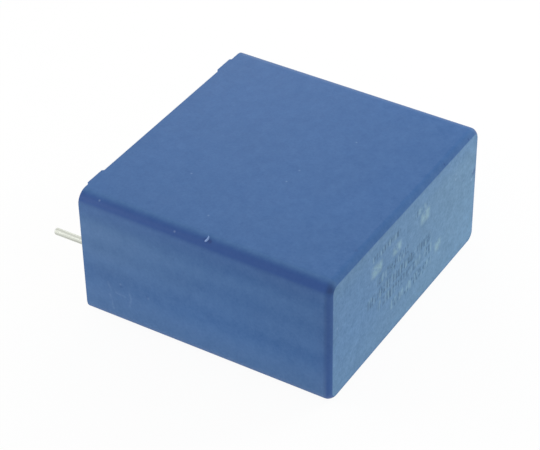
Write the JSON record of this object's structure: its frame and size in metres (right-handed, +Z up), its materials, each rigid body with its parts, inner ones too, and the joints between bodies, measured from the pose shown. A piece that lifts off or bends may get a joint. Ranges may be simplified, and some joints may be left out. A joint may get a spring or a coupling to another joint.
{
  "type": "box film capacitor",
  "caption": "Potted film capacitor in a rectangular blue plastic box with rounded edges, low stand-off feet on the rim and straight round wire leads for a circuit board.",
  "frame": {"origin": "on the lower broad wall that the part lies on, midway between the end walls and midway between the closed face and the rim", "axes": "+X along the lead pitch, +Y from the closed face towards the leads, +Z up through the thickness of the box"},
  "size_m": [0.042, 0.045, 0.0203],
  "materials": {
    "case_plastic": "fine matte mould texture",
    "resin": "cast, satin",
    "metallised_film": "wound film",
    "sprayed_metal": "sprayed, matte",
    "tinned_wire": "bright tin plate"
  },
  "bodies": {
    "root": {"case": "case_plastic", "potting_resin": "resin", "film_winding": "metallised_film", "left_end_contact": "sprayed_metal", "right_end_contact": "sprayed_metal", "left_lead": "tinned_wire", "right_lead": "tinned_wire"}
  },
  "joints": []
}
